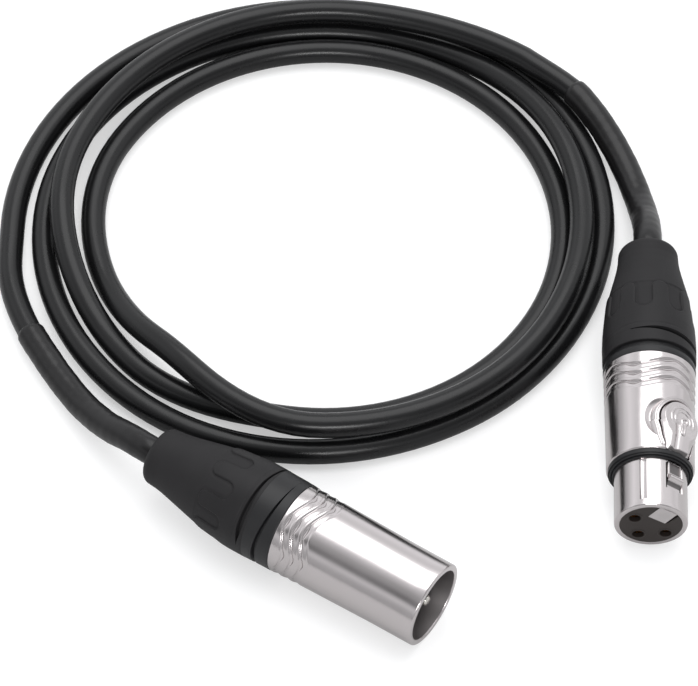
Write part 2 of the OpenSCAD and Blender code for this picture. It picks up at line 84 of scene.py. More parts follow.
# Each move is (from, to, outward, up), in degrees of winding and millimetres
COIL_MOVES = (
    (0, 108, -4.7, 0),
    (104, 226, -4.8, 0),
    (240, 310, 2.4, 0),
    (366, 454, -3.7, 0),
    (474, 544, -2, 0),
    (467, 523, 0, 5),
    (543, 601, 1.8, 0),
    (531, 569, 0, 1.1),
    (631, 677, -8.6, 0),
    (662, 707, 0, -6.1),
    (689, 748, 2.8, 0),
    (999, 1038, 3.1, 0),
    (1041, 1102, 3.3, 0),
    (1043, 1085, 0, 6.1),
    (1099, 1162, 0.6, 0),
    (1180, 1262, 10.6, 0),
)
# Points that the cable passes between the coil and each plug
MALE_ROUTE = (
    (-90.6, 52, 2.75), (-89.8, 46, 2.9), (-88, 39.8, 3), (-85.3, 33.3, 3.15), (-81.6, 26.5, 3.2),
    (-77.6, 19.8, 3.3), (-72.6, 12.2, 4.2), (-67, 4.9, 6.8), (-62, -0.2, 9.5),
)
FEMALE_ROUTE = (
    (35.6, 98.9, 8.2), (40.6, 92.4, 6.8), (44.8, 85.2, 4.8), (47.9, 77.6, 3.5), (49.8, 70.4, 3.5),
    (50.7, 63.6, 5.6), (50.8, 57.4, 9),
)

# Angle above which an edge shades sharp, in degrees
SHARP = 38
SHARP_TURNED = 62
SHARP_RING = 58
SHARP_LATCH = 50


# ================= settings =================

class CableSettings(bpy.types.PropertyGroup):
    diameter: FloatProperty(
        name="Cable diameter", description="Outer diameter of the jacket",
        default=0.0055, min=0.004, max=0.007, unit="LENGTH")
    sleeve_diameter: FloatProperty(
        name="Sleeve diameter", description="Outer diameter of the heat-shrink sleeves",
        default=0.0063, min=0.006, max=0.008, unit="LENGTH")
    jacket: FloatVectorProperty(
        name="Jacket", description="Colour of the cable jacket",
        default=(0.006, 0.006, 0.0064), size=3, min=0, max=1, subtype="COLOR")
    sleeve: FloatVectorProperty(
        name="Sleeve", description="Colour of the heat-shrink sleeves",
        default=(0.008, 0.0076, 0.008), size=3, min=0, max=1, subtype="COLOR")


class PlugSettings(bpy.types.PropertyGroup):
    plate: FloatVectorProperty(
        name="Plating", description="Colour of the nickel-plated shells",
        default=(0.52, 0.488, 0.488), size=3, min=0, max=1, subtype="COLOR")
    boot: FloatVectorProperty(
        name="Boot", description="Colour of the bushings and soft boots",
        default=(0.0155, 0.0149, 0.0157), size=3, min=0, max=1, subtype="COLOR")
    insert: FloatVectorProperty(
        name="Insert", description="Colour of the moulded inserts",
        default=(0.022, 0.017, 0.015), size=3, min=0, max=1, subtype="COLOR")
    groove_depth: FloatProperty(
        name="Groove depth", description="Depth of the wavy grip grooves, in millimetres",
        default=0.42, min=0.1, max=0.6)
    finger_step: FloatProperty(
        name="Finger step", description="Height of the hard fingers over the soft boot, in millimetres",
        default=0.35, min=0.1, max=0.6)


class StageSettings(bpy.types.PropertyGroup):
    focal: FloatProperty(
        name="Focal length", description="Camera lens for a 36 mm sensor",
        default=206.3, min=50, max=300)
    distance: FloatProperty(
        name="Camera distance", description="From the camera to the point it looks at",
        default=0.8791, min=0.3, max=3, unit="LENGTH")
    pitch: FloatProperty(
        name="Camera pitch", description="Angle at which the camera looks down",
        default=radians(52.5), min=0, max=pi / 2, unit="ROTATION")
    key_power: FloatProperty(
        name="Key power", description="Power of the large overhead softbox",
        default=5.2, min=0, max=100, unit="POWER")
    front_power: FloatProperty(
        name="Front power", description="Power of the narrow softbox in front",
        default=6.5, min=0, max=100, unit="POWER")


SETTINGS = (CableSettings, PlugSettings, StageSettings)


# ================= geometry helpers =================

def rest_tilt(front_s):
    """Angle at which a plug's rear stands up, lying on its front edge and its boot"""
    return atan((BOOT_R - SHELL_FRONT_R) / (BOOT_WIDEST - front_s))


def plug_frame(mouth, heading, front_s):
    """Matrix from a plug's own frame, +Z running back from its mouth, to the row frame"""
    tilt = rest_tilt(front_s)
    height = SHELL_FRONT_R * cos(tilt) - front_s * sin(tilt)
    place = Matrix.Translation((mouth[0], mouth[1], height))
    turn = Matrix.Rotation(radians(heading + 180), 4, "Z") @ Matrix.Rotation(pi / 2 - tilt, 4, "Y")
    return Matrix.Scale(MM, 4) @ place @ turn


MALE = plug_frame(MALE_MOUTH, MALE_HEADING, MALE_FRONT_S)
FEMALE = plug_frame(FEMALE_MOUTH, FEMALE_HEADING, FEMALE_FRONT_S)


def at_angle(angle):
    """Rotation that turns +X to an angle from the plug's top, seen from its mouth"""
    return Matrix.Rotation(radians(angle + 180), 4, "Z")


LATCH_FRAME = FEMALE @ at_angle(LATCH_ANGLE)


def ease(u):
    u = min(1.0, max(0.0, u))
    return u * u * (3 - 2 * u)


def coil_point(turn):
    r, z = COIL_R, LANE_Z
    for start, end, outward, up in COIL_MOVES:
        share = ease((turn - start) / (end - start))
        r += outward * share
        z += up * share
    a = radians(180 - turn)
    return Vector((COIL_CENTRE[0] + r * cos(a), COIL_CENTRE[1] + r * sin(a), z))


def through(points, pieces):
    """A smooth curve through points: each span is cut in pieces"""
    out = []
    for i in range(len(points) - 1):
        p0 = points[max(i - 1, 0)]
        p1, p2 = points[i], points[i + 1]
        p3 = points[min(i + 2, len(points) - 1)]
        span = (p2 - p1).length
        m1 = (p2 - p0) * (span / max((p2 - p0).length, 1e-6))
        m2 = (p3 - p1) * (span / max((p3 - p1).length, 1e-6))
        for k in range(pieces):
            t = k / pieces
            out.append(
                p1 * (2 * t ** 3 - 3 * t ** 2 + 1) + m1 * (t ** 3 - 2 * t ** 2 + t)
                + p2 * (3 * t ** 2 - 2 * t ** 3) + m2 * (t ** 3 - t ** 2))
    out.append(points[-1].copy())
    return out


def on_axis(plug, s):
    """Point on a plug's axis, in millimetres in the row frame"""
    return (plug @ Vector((0, 0, s))) / MM


def cable_path():
    """The cable's middle from inside the male boot to inside the female boot"""
    coil = [coil_point(turn) for turn in range(0, COIL_END_TURN + 1, 3)]
    male = [on_axis(MALE, s) for s in (MALE_LEN - 9, MALE_LEN - 1.5, MALE_LEN + 1)]
    male += [Vector(p) for p in reversed(MALE_ROUTE)]
    male.append(coil[0])
    female = [coil[-1]] + [Vector(p) for p in FEMALE_ROUTE]
    female += [on_axis(FEMALE, s) for s in (FEMALE_LEN + 1, FEMALE_LEN - 1.5, FEMALE_LEN - 9)]
    return through(male, 5)[:-1] + coil + through(female, 5)[1:]


def linked(name, data):
    """Makes an object and puts it in the scene"""
    obj = bpy.data.objects.new(name, data)
    bpy.context.scene.collection.objects.link(obj)
    return obj


def mesh_of(name, bm):
    """Turns a bmesh into a mesh and frees it"""
    mesh = bpy.data.meshes.new(name)
    bm.to_mesh(mesh)
    bm.free()
    return mesh


def tube_along(name, diameter, points):
    """A round tube along points in millimetres, as an object and its spline"""
    data = bpy.data.curves.new(name, "CURVE")
    data.dimensions = "3D"
    data.bevel_depth = diameter / 2
    data.bevel_resolution = 8
    data.use_fill_caps = True
    spline = data.splines.new("POLY")
    spline.points.add(len(points) - 1)
    for vertex, point in zip(spline.points, points):
        vertex.co = (*(point * MM), 1)
    spline.use_smooth = True
    return linked(name, data), spline


def add_box(bm, low, high, half, front, back):
    """Adds a box that lies along the plug: from low to high outward, and half to each side"""
    made = bmesh.ops.create_cube(bm, size=1)["verts"]
    bmesh.ops.scale(bm, vec=(high - low, 2 * half, back - front), verts=made)
    bmesh.ops.translate(bm, vec=((high + low) / 2, 0, (front + back) / 2), verts=made)
    return made


def soften(bm, edges, offset, segments=2):
    return bmesh.ops.bevel(bm, geom=edges, offset=offset, affect="EDGES", segments=segments,
                           profile=0.5, material=-1)


def prism(bm, corners, push):
    """Adds a solid whose face at corners is carried along by push"""
    face = bm.faces.new([bm.verts.new(corner) for corner in corners])
    made = bmesh.ops.extrude_face_region(bm, geom=[face])
    moved = [v for v in made["geom"] if isinstance(v, bmesh.types.BMVert)]
    bmesh.ops.translate(bm, verts=moved, vec=push)


def fillet(points, pieces=4):
    """Rounds the corners of a closed outline: each point is (across, along, radius)"""
    out = []
    count = len(points)
    for i, (x, y, radius) in enumerate(points):
        here = Vector((x, y))
        if radius <= 0:
            out.append((x, y))
            continue
        back = Vector(points[i - 1][:2]) - here
        ahead = Vector(points[(i + 1) % count][:2]) - here
        half = back.angle(ahead) / 2
        reach = min(radius / max(sin(half) / cos(half), 1e-3), back.length / 2, ahead.length / 2)
        start = here + back.normalized() * reach
        end = here + ahead.normalized() * reach
        for k in range(pieces + 1):
            t = k / pieces
            point = start.lerp(here, t).lerp(here.lerp(end, t), t)
            out.append((point.x, point.y))
    return out


def finer(points, gap, low, high):
    """Cuts the outline's long spans between two stations into pieces no longer than gap"""
    out = []
    for (r0, s0), (r1, s1) in zip(points, points[1:] + points[:1]):
        out.append((r0, s0))
        length = hypot(r1 - r0, s1 - s0)
        if length > gap and low <= (s0 + s1) / 2 <= high:
            pieces = int(length / gap) + 1
            for k in range(1, pieces):
                t = k / pieces
                out.append((r0 + (r1 - r0) * t, s0 + (s1 - s0) * t))
    return out


def lathe(profile, steps=192):
    """Turns a closed outline of (radius, station) points round the plug's axis"""
    bm = bmesh.new()
    verts = [bm.verts.new((r, 0, s)) for r, s in profile]
    for a, b in zip(verts, verts[1:] + verts[:1]):
        bm.edges.new((a, b))
    bmesh.ops.spin(bm, geom=bm.verts[:] + bm.edges[:], axis=(0, 0, 1), cent=(0, 0, 0),
                   angle=2 * pi, steps=steps, use_merge=True)
    bmesh.ops.remove_doubles(bm, verts=bm.verts, dist=1e-5)
    bmesh.ops.recalc_face_normals(bm, faces=bm.faces)
    return bm


def reshape(bm, change, crowd=0.0, centre=0.0):
    """Moves each point: change gets its radius, station and angle from the plug's top, and
    gives a radius and station. Crowd draws the points together round the centre angle."""
    for vert in bm.verts:
        r = hypot(vert.co.x, vert.co.y)
        angle = degrees(atan2(vert.co.y, vert.co.x)) - 180
        if crowd:
            off = radians(near(angle, centre))
            angle = centre + degrees(off - crowd * sin(off))
        angle = near(angle, 0)
        r, s = change(r, vert.co.z, angle)
        turn = radians(angle + 180)
        vert.co = (r * cos(turn), r * sin(turn), s)


def between(value, low, high):
    """0 up to low, 1 from high, and eased between them"""
    return ease((value - low) / (high - low))


def near(angle, centre):
    """Signed angle from a centre, between -180 and 180"""
    return (angle - centre + 180) % 360 - 180


def put(name, bm, plug, *materials, sharp=SHARP, body=CABLE_BODY):
    """Makes an object from a bmesh in a plug's own frame, with materials by name"""
    bmesh.ops.transform(bm, matrix=plug, verts=bm.verts)
    bmesh.ops.recalc_face_normals(bm, faces=bm.faces)
    obj = linked(name, mesh_of(name, bm))
    for material in materials:
        obj.data.materials.append(bpy.data.materials[material])
    obj.data.shade_smooth()
    obj.data.set_sharp_from_angle(angle=radians(sharp))
    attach(obj, body)
    return obj


def carve(obj, cutter, sharp=SHARP):
    """Takes a cutter, a bmesh in the row frame, out of an object for good"""
    tool = linked("cutter", mesh_of("cutter", cutter))
    cut = obj.modifiers.new("cut", "BOOLEAN")
    cut.operation = "DIFFERENCE"
    cut.solver = "EXACT"
    cut.object = tool
    graph = bpy.context.evaluated_depsgraph_get()
    result = bpy.data.meshes.new_from_object(obj.evaluated_get(graph))
    obj.modifiers.clear()
    obj.data = result
    bpy.data.objects.remove(tool)
    result.shade_smooth()
    result.set_sharp_from_angle(angle=radians(sharp))


# ================= materials =================

def fill(tree, node, values):
    """Sets a node's sockets: a value becomes a constant, and another node's socket a link"""
    for name, value in values.items():
        if isinstance(value, bpy.types.NodeSocket):
            tree.links.new(value, node.inputs[name])
        else:
            node.inputs[name].default_value = value


def add_node(tree, kind, values, **options):
    """Adds a node with its options and its sockets' values"""
    node = tree.nodes.new("ShaderNode" + kind)
    for name, value in options.items():
        setattr(node, name, value)
    fill(tree, node, values)
    return node


def nodes_of(name):
    material = bpy.data.materials.new(name)
    material.use_nodes = True
    tree = material.node_tree
    return material, tree, tree.nodes["Principled BSDF"]


def noise(tree, scale, detail):
    """Noise between 0 and 1 on the piece's own coordinates"""
    where = add_node(tree, "TexCoord", {})
    values = {"Scale": scale, "Detail": detail, "Vector": where.outputs["Object"]}
    return add_node(tree, "TexNoise", values).outputs["Fac"]


def span(tree, value, low, high):
    """Maps a 0 to 1 value to a range"""
    values = {"To Min": low, "To Max": high, "Value": value}
    return add_node(tree, "MapRange", values).outputs["Result"]


def bumps(tree, height, strength, distance):
    values = {"Strength": strength, "Distance": distance, "Height": height}
    return add_node(tree, "Bump", values).outputs["Normal"]


def blend(tree, value, first, second):
    """A colour between two, led by a 0 to 1 value"""
    values = {"A": first, "B": second, "Factor": value}
    return add_node(tree, "Mix", values, data_type="RGBA").outputs["Result"]


def moulded(name, colour, roughness, grain=2500.0, depth=0.00002, gloss=0.3):
    """Moulded plastic or rubber: a fine grain, and a faint cloudiness in colour and gloss"""
    material, tree, shader = nodes_of(name)
    fine = noise(tree, grain, 2.0)
    broad = noise(tree, 160.0, 4.0)
    dark, light = ((*[c * share for c in colour], 1) for share in (0.75, 1.25))
    fill(tree, shader, {
        "Specular IOR Level": gloss,
        "Base Color": blend(tree, broad, dark, light),
        "Roughness": span(tree, broad, roughness - 0.06, roughness + 0.06),
        "Normal": bumps(tree, fine, 0.35, depth)})
    return material


def plated(name, colour, roughness, share=1.0):
    """Plated metal: fine scratches in the gloss and a faint unevenness"""
    material, tree, shader = nodes_of(name)
    smudge = noise(tree, 120.0, 5.0)
    grain = noise(tree, 1500.0, 2.0)
    fill(tree, shader, {
        "Metallic": 1.0,
        "Base Color": (*[c * share for c in colour], 1),
        "Roughness": span(tree, smudge, roughness * 0.7, roughness * 1.3),
        "Normal": bumps(tree, grain, 0.1, 0.00001)})
    return material


# ================= operators =================

class MICCABLE_OT_stage(bpy.types.Operator):
    """Makes the camera, the lamps, the world and the white floor"""
    bl_idname = "miccable.stage"
    bl_label = "Stage"
    target = Vector((-0.0153, 0.0325, 0))
    # Strengths of the room, as (height of the direction, strength) in front of the camera's
    # side, and as (share of the way up and to the right, strength) behind the cable
    before = ((0.0, 0.5), (0.22, 0.62), (0.43, 0.95), (0.61, 0.2), (0.80, 0.5), (1.0, 0.9))
    behind = ((0.0, 0.45), (0.17, 0.72), (0.31, 1.05), (0.44, 1.32), (0.56, 1.15), (0.69, 0.98),
              (0.81, 1.2), (1.0, 1.2))
    floor_colour = (0.56, 0.56, 0.56, 1)
    # Light that the floor adds for the camera, and the share of it that metal shows
    floor_lift = 0.46
    floor_lift_in_metal = 0.15

    def execute(self, context):
        setting = context.scene.miccable_stage
        pitch = setting.pitch
        data = bpy.data.cameras.new("camera")
        data.sensor_width = 36
        data.lens = setting.focal
        data.clip_end = 20
        camera = linked("camera", data)
        camera.location = self.target + Vector((0, -cos(pitch), sin(pitch))) * setting.distance
        camera.rotation_euler = (pi / 2 - pitch, 0, 0)
        context.scene.camera = camera
        context.scene.view_settings.view_transform = "Standard"
        self.lamp("overhead", (0.04, 0.37, 1.0), 0.85, 0.95, setting.key_power)
        self.lamp("front", (-0.015, -1.07, 0.77), 0.6, 0.2, setting.front_power)
        self.world(context)
        self.floor()
        return {"FINISHED"}

    def lamp(self, name, place, width, height, power):
        data = bpy.data.lights.new(name, "AREA")
        data.shape = "RECTANGLE"
        data.size = width
        data.size_y = height
        data.energy = power
        lamp = linked(name, data)
        lamp.location = place
        lamp.rotation_euler = (Vector(place) - self.target).to_track_quat("Z", "Y").to_euler()

    def world(self, context):
        """A pale room with darker bands for the metal to show, and white to the camera"""
        world = bpy.data.worlds.new("studio")
        context.scene.world = world
        world.use_nodes = True
        tree = world.node_tree
        where = add_node(tree, "TexCoord", {})
        axes = add_node(tree, "SeparateXYZ", {"Vector": where.outputs["Generated"]})
        to_back = add_node(tree, "MapRange", {
            "From Min": -0.25, "From Max": 0.15, "Value": axes.outputs["Y"]},
            interpolation_type="SMOOTHSTEP")
        lean = add_node(tree, "Math", {0: axes.outputs["X"], 1: 0.35, 2: axes.outputs["Z"]},
                        operation="MULTIPLY_ADD")
        share = add_node(tree, "MapRange", {
            "From Min": -0.35, "From Max": 0.95, "Value": lean.outputs["Value"]})
        colour = blend(tree, to_back.outputs["Result"],
                       self.ramp(tree, axes.outputs["Z"], self.before),
                       self.ramp(tree, share.outputs["Result"], self.behind))
        room = tree.nodes["Background"]
        fill(tree, room, {"Strength": 1.0, "Color": colour})
        white = add_node(tree, "Background", {"Color": (1, 1, 1, 1)})
        path = add_node(tree, "LightPath", {})
        pick = add_node(tree, "MixShader", {
            "Fac": path.outputs["Is Camera Ray"], 1: room.outputs["Background"],
            2: white.outputs["Background"]})
        fill(tree, tree.nodes["World Output"], {"Surface": pick.outputs["Shader"]})

    def ramp(self, tree, value, stops):
        """Greys of different strength along a value"""
        node = add_node(tree, "ValToRGB", {"Fac": value})
        ramp = node.color_ramp
        ramp.interpolation = "EASE"
        ramp.elements[0].position = stops[0][0]
        ramp.elements[1].position = stops[-1][0]
        for place, _ in stops[1:-1]:
            ramp.elements.new(place)
        for stop, (_, strength) in zip(ramp.elements, stops):
            stop.color = (strength, strength * 1.01, strength * 1.03, 1)
        return node.outputs["Color"]

    def floor(self):
        bm = bmesh.new()
        bmesh.ops.create_grid(bm, x_segments=1, y_segments=1, size=3.0)
        floor = linked("floor", mesh_of("floor", bm))
        material, tree, shader = nodes_of("white floor")
        path = add_node(tree, "LightPath", {})
        seen = add_node(tree, "Math", {
            0: path.outputs["Is Glossy Ray"], 1: self.floor_lift_in_metal,
            2: path.outputs["Is Camera Ray"]}, operation="MULTIPLY_ADD")
        lift = add_node(tree, "Math", {0: seen.outputs["Value"], 1: self.floor_lift},
                        operation="MULTIPLY")
        fill(tree, shader, {
            "Base Color": self.floor_colour, "Roughness": 0.9, "Emission Color": (1, 1, 1, 1),
            "Emission Strength": lift.outputs["Value"]})
        floor.data.materials.append(material)


class MICCABLE_OT_cable(bpy.types.Operator):
    """Makes the cable: one tube from boot to boot, wound in the coil"""
    bl_idname = "miccable.cable"
    bl_label = "Cable"

    def execute(self, context):
        setting = context.scene.miccable_cable
        cable, _ = tube_along("cable", setting.diameter, cable_path())
        cable.data.materials.append(moulded("cable jacket", setting.jacket, 0.28, 1800.0, 0.00003))
        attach(cable, CABLE_BODY)
        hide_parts("cable_coil", "male_lead", "female_lead")
        return {"FINISHED"}


class MICCABLE_OT_sleeves(bpy.types.Operator):
    """Makes the two heat-shrink sleeves, shrunk tight round the cable at each boot"""
    bl_idname = "miccable.sleeves"
    bl_label = "Heat-shrink sleeves"

    def execute(self, context):
        setting = context.scene.miccable_cable
        finish = moulded("heat shrink", setting.sleeve, 0.3, 900.0, 0.00006)
        path = cable_path()
        for name, start, end in (
                ("male_sleeve", on_axis(MALE, MALE_LEN - 5), Vector(MALE_ROUTE[3])),
                ("female_sleeve", Vector(FEMALE_ROUTE[0]), on_axis(FEMALE, FEMALE_LEN - 5))):
            first = min(range(len(path)), key=lambda i: (path[i] - start).length)
            last = min(range(len(path)), key=lambda i: (path[i] - end).length)
            tube = self.tube(name, through(path[first:last + 1], 4), setting)
            tube.data.materials.append(finish)
            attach(tube, CABLE_BODY)
            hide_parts(name.replace("sleeve", "heat_shrink"))
        return {"FINISHED"}

    def tube(self, name, points, setting):
        """A tube that follows the cable a little unevenly, and whose ends draw in to it"""
        tube, spline = tube_along(name, setting.sleeve_diameter, points)
        low = setting.diameter / setting.sleeve_diameter - 0.01
        run = 0.0
        total = sum((b - a).length for a, b in zip(points, points[1:]))
        for i, point in enumerate(points):
            if i:
                run += (point - points[i - 1]).length
            edge = min(run, total - run)
            swell = 1 + 0.006 * sin(run * 0.9) + 0.005 * sin(run * 2.3 + 1)
            spline.points[i].radius = low + (swell - low) * sqrt(min(1.0, edge / 0.9))
        return tube


# ---- the shells ----
# Radius of each shell's outside, as (station, radius)
MALE_BODY = ((0, 9.4), (10, 9.4), (27, 9.7), (34.7, 9.95))
FEMALE_BODY = ((13.4, 9.4), (20, 9.45), (38, 9.93))
# The grip: three grooves that wave along the plug, with deeper lenses on them
GROOVES = 3
GRIP_PITCH = 2.3
WAVES_PER_TURN = 4
LENSES_PER_TURN = 8
LENS_ANGLE = 20


def along(points, s):
    """Value at a station of a row of (station, value) points"""
    for (s0, v0), (s1, v1) in zip(points, points[1:]):
        if s <= s1:
            return v0 + (v1 - v0) * max(0.0, s - s0) / (s1 - s0)
    return points[-1][1]


def grip_outline(body, first, depth):
    """The outline of the grip grooves, each a shallow slope that ends in a narrow cut"""
    out = []
    for i in range(GROOVES):
        for run, sink in ((0, 0), (0.08, 0.05), (0.3, 0.09), (0.55, 0.12), (0.85, 0.16),
                          (1.1, 0.2), (1.25, 0.26), (1.36, depth * 0.85), (1.46, depth),
                          (1.6, depth), (1.72, depth * 0.5), (1.8, 0.04), (1.88, 0)):
            s = first + GRIP_PITCH * i + run
            out.append((along(body, s) - sink, s))
    return out


def grip(body, first, swing, phase, fade, r, s, angle):
    """Moves a point of the grip: the grooves swing along the plug, fade out between two
    stations, and widen at each lens"""
    sink = along(body, s) - r
    run = (s - first) % GRIP_PITCH
    lens = max(0.0, cos(radians(LENSES_PER_TURN * (angle - LENS_ANGLE)))) ** 1.5
    if 0 <= s - first < GROOVES * GRIP_PITCH:
        s -= 0.32 * lens * between(run, 0.3, 1.25) * (1 - between(run, 1.5, 1.75))
    window = between(s, first - 4.5, first - 0.5) * (1 - between(s, *fade))
    s += swing * cos(radians(WAVES_PER_TURN * (angle - phase))) * window
    return along(body, s) - sink * (0.7 + 0.5 * lens), s


class MICCABLE_OT_male_shell(bpy.types.Operator):
    """Turns the male shell: the mouth with its key and hook recess, and the wavy grip"""
    bl_idname = "miccable.male_shell"
    bl_label = "Male shell"
    # Where the grip starts, and the angles of the hook's recess and of the key
    first = 26.65
    recess_angle, recess_half = 54, 17
    key_angle, key_half = 54 + KEY_OFFSET, 7.6

    def execute(self, context):
        plug = context.scene.miccable_plug
        waves = grip_outline(MALE_BODY, self.first, plug.groove_depth)
        bore = [(MOUTH_R, s) for s in (15, 8.75, 8.7, 5.05, 5.0, 4.95, 4.9, 4.85)]
        rim = fillet([(MOUTH_R, 3, 0), (MOUTH_R, 0, 0.22), (SHELL_FRONT_R, 0, 0.42),
                      (SHELL_FRONT_R, 3, 0)])
        outside = [(along(MALE_BODY, s), s) for s in (6, 10, 14, 18, 21, 22.5, 24, 25.3, 26.2)]
        rear = fillet([(9.92, 33.9, 0), (9.95, 34.7, 0.15), (SHELL_BORE_R, 34.7, 0),
                       (SHELL_BORE_R, 30, 0)])
        profile = [(SHELL_BORE_R, 15)] + bore + rim + outside + waves + rear
        bm = lathe(finer(profile, 0.5, 22, 34), 288)
        reshape(bm, self.relief)
        # The bore's faces get a satin plate at half the colour: the duller finish is real, the darker
        # colour is painted shade inside the mouth
        for face in bm.faces:
            middle = face.calc_center_median()
            if middle.z > 0.25 and hypot(middle.x, middle.y) < 8.9:
                face.material_index = 1
        shell = put("male_shell_body", bm, MALE, "nickel plate", "satin bore with painted shade",
                    sharp=SHARP_TURNED)
        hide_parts("male_shell")
        return {"FINISHED"}

    def relief(self, r, s, angle):
        if r < 8.3 and 4.97 < s < 14.9 and abs(near(angle, self.key_angle)) < self.key_half:
            return r - 0.9, s
        if r < 8.3 and 4.88 < s < 8.72 and abs(near(angle, self.recess_angle)) < self.recess_half:
            return r + 0.7, s
        if r < 9.0 or s < 20:
            return r, s
        return grip(MALE_BODY, self.first, 0.9, -26, (33.2, 34.5), r, s, angle)


# ---- the latch's outlines, across and along the plug, seen square to the latch ----
LATCH_STEPS = 240
HEAD_Y = 0.34
HEAD_S = 21.4
HEAD_R = 4.55
FOOT_R = 4.85
NECK_HALF = 2.4
# Half the width of the foot below the head, as (station, half)
FOOT_HALF = ((13, 2.95), (14.5, 3.2), (16, 3.65), (17.7, 4.15), (20.4, 4.75))
# Distance over which the neck runs into the head
NECK_BLEND = 0.9


def latch_gap(y, s, wide):
    """Distance outside the latch's face, a round head on a neck, or outside its wide foot"""
    head = hypot(y - HEAD_Y, s - HEAD_S) - (FOOT_R if wide else HEAD_R)
    if s > HEAD_S - 1:
        return head
    half = along(FOOT_HALF, s) if wide else NECK_HALF + 0.15 * (1 - between(s, 13.5, 15))
    neck = abs(y + 0.1 - 0.4 * between(s, 16, 20)) - half
    mix = max(0.0, min(1.0, 0.5 + 0.5 * (neck - head) / NECK_BLEND))
    return neck * (1 - mix) + head * mix - NECK_BLEND * mix * (1 - mix)


def outline_of(gap, low, wide=True):
    """The latch's outline grown by a gap, as (across, along) points from its front"""
    points = []
    for i in range(LATCH_STEPS):
        turn = 2 * pi * i / LATCH_STEPS
        across, up = sin(turn), -cos(turn)
        inside, outside = 0.0, 14.0
        for _ in range(24):
            reach = (inside + outside) / 2
            y, s = HEAD_Y + across * reach, HEAD_S + up * reach
            if s < low or latch_gap(y, s, wide) > gap:
                outside = reach
            else:
                inside = reach
        points.append((HEAD_Y + across * inside, HEAD_S + up * inside))
    return points


def spokes(rings):
    """Rings round the latch's centre, and each point with its ring and its step"""
    bm = bmesh.new()
    verts = [bm.verts.new((0, 0, -1 - k)) for k in range(rings)]
    for a, b in zip(verts, verts[1:]):
        bm.edges.new((a, b))
    bmesh.ops.spin(bm, geom=bm.verts[:] + bm.edges[:], axis=(1, 0, 0), cent=(0, 0, 0),
                   angle=2 * pi, steps=LATCH_STEPS, use_merge=True)
    bmesh.ops.remove_doubles(bm, verts=bm.verts, dist=1e-4)
    found = []
    for vert in bm.verts:
        step = round(atan2(vert.co.y, -vert.co.z) / (2 * pi) * LATCH_STEPS) % LATCH_STEPS
        found.append((vert, round(hypot(vert.co.y, vert.co.z)) - 1, step))
    return bm, found


class MICCABLE_OT_female_shell(bpy.types.Operator):
    """Turns the female shell with its thumb scoop, and lays the double rim round the latch"""
    bl_idname = "miccable.female_shell"
    bl_label = "Female shell"
    first = 29.75
    # The rim's section, as (gap outside the latch, height over the shell)
    section = ((0.18, -0.95), (0.2, -0.1), (0.25, 0.08), (0.34, 0.19), (0.44, 0.22), (0.54, 0.18),
               (0.62, 0.11), (0.69, 0.1), (0.77, 0.16), (0.87, 0.21), (0.98, 0.2), (1.09, 0.12),
               (1.2, -0.02), (1.3, -0.25), (1.4, -0.72), (0.8, -0.95))
    # The share of the rim, on each side of its front, that the collar's ring takes
    rim_open = 0.058

    def execute(self, context):
        plug = context.scene.miccable_plug
        waves = grip_outline(FEMALE_BODY, self.first, plug.groove_depth)
        rim = fillet([(COLLAR_R, 15, 0), (COLLAR_R, 13.4, 0.1), (SHELL_FRONT_R, 13.4, 0.45),
                      (9.42, 15, 0)])
        outside = [(along(FEMALE_BODY, s), s) for s in (28, 29.3)]
        rear = fillet([(9.9, 37.2, 0), (9.93, 38, 0.15), (SHELL_BORE_R, 38, 0),
                       (SHELL_BORE_R, 30, 0)])
        inside = [(SHELL_BORE_R, 22), (8.1, 22), (8.1, 20), (COLLAR_R, 20)]
        front = finer(inside + rim + outside + waves + rear, 0.22, 14.5, 28.2)
        bm = lathe(finer(front, 0.45, 28, 38), 288)
        reshape(bm, self.relief, 0.5, 15)
        shell = put("female_shell_body", bm, FEMALE, "nickel plate", sharp=SHARP_TURNED)
        carve(shell, self.opening(), SHARP_TURNED)
        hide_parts("female_shell")
        self.rim()
        return {"FINISHED"}

    def relief(self, r, s, angle):
        if r < 9.0 or s < 13.9:
            return r, s
        r, s = grip(FEMALE_BODY, self.first, 0.75, 30, (36.0, 37.8), r, s, angle)
        scoop = 1 - hypot(near(angle, 12) / 22.4, (s - 21.2) / 4.75)
        if scoop > 0:
            r -= 0.62 * (1 - (1 - min(1.0, scoop / 0.36)) ** 2)
        return r, s

    def opening(self):
        """A cutter for the opening that the latch stands in"""
        bm = bmesh.new()
        prism(bm, [(5, y, s) for y, s in outline_of(0.28, 12.5)], (8, 0, 0))
        bmesh.ops.recalc_face_normals(bm, faces=bm.faces)
        bmesh.ops.transform(bm, matrix=LATCH_FRAME, verts=bm.verts)
        return bm

    def rim(self):
        """A bead whose section runs along the latch's outline, and sinks in at the front"""
        bm, found = spokes(len(self.section))
        bmesh.ops.bridge_loops(bm, edges=[e for e in bm.edges if e.is_boundary])
        lines = [outline_of(gap, 13.5) for gap, height in self.section]
        front = []
        for vert, ring, step in found:
            y, s = lines[ring][step]
            height = self.section[ring][1]
            if height > -0.3:
                height = -0.3 + (height + 0.3) * between(s, 13.5, 14.7)
            r = along(FEMALE_BODY, s) + height
            vert.co = (sqrt(r * r - y * y), y, s)
            if min(step, LATCH_STEPS - step) < LATCH_STEPS * self.rim_open:
                front.append(vert)
        bmesh.ops.delete(bm, geom=front, context="VERTS")
        bmesh.ops.holes_fill(bm, edges=[e for e in bm.edges if e.is_boundary], sides=0)
        bmesh.ops.dissolve_degenerate(bm, edges=bm.edges, dist=1e-4)
        rim = put("latch_rim", bm, LATCH_FRAME, "nickel plate", sharp=SHARP_TURNED)


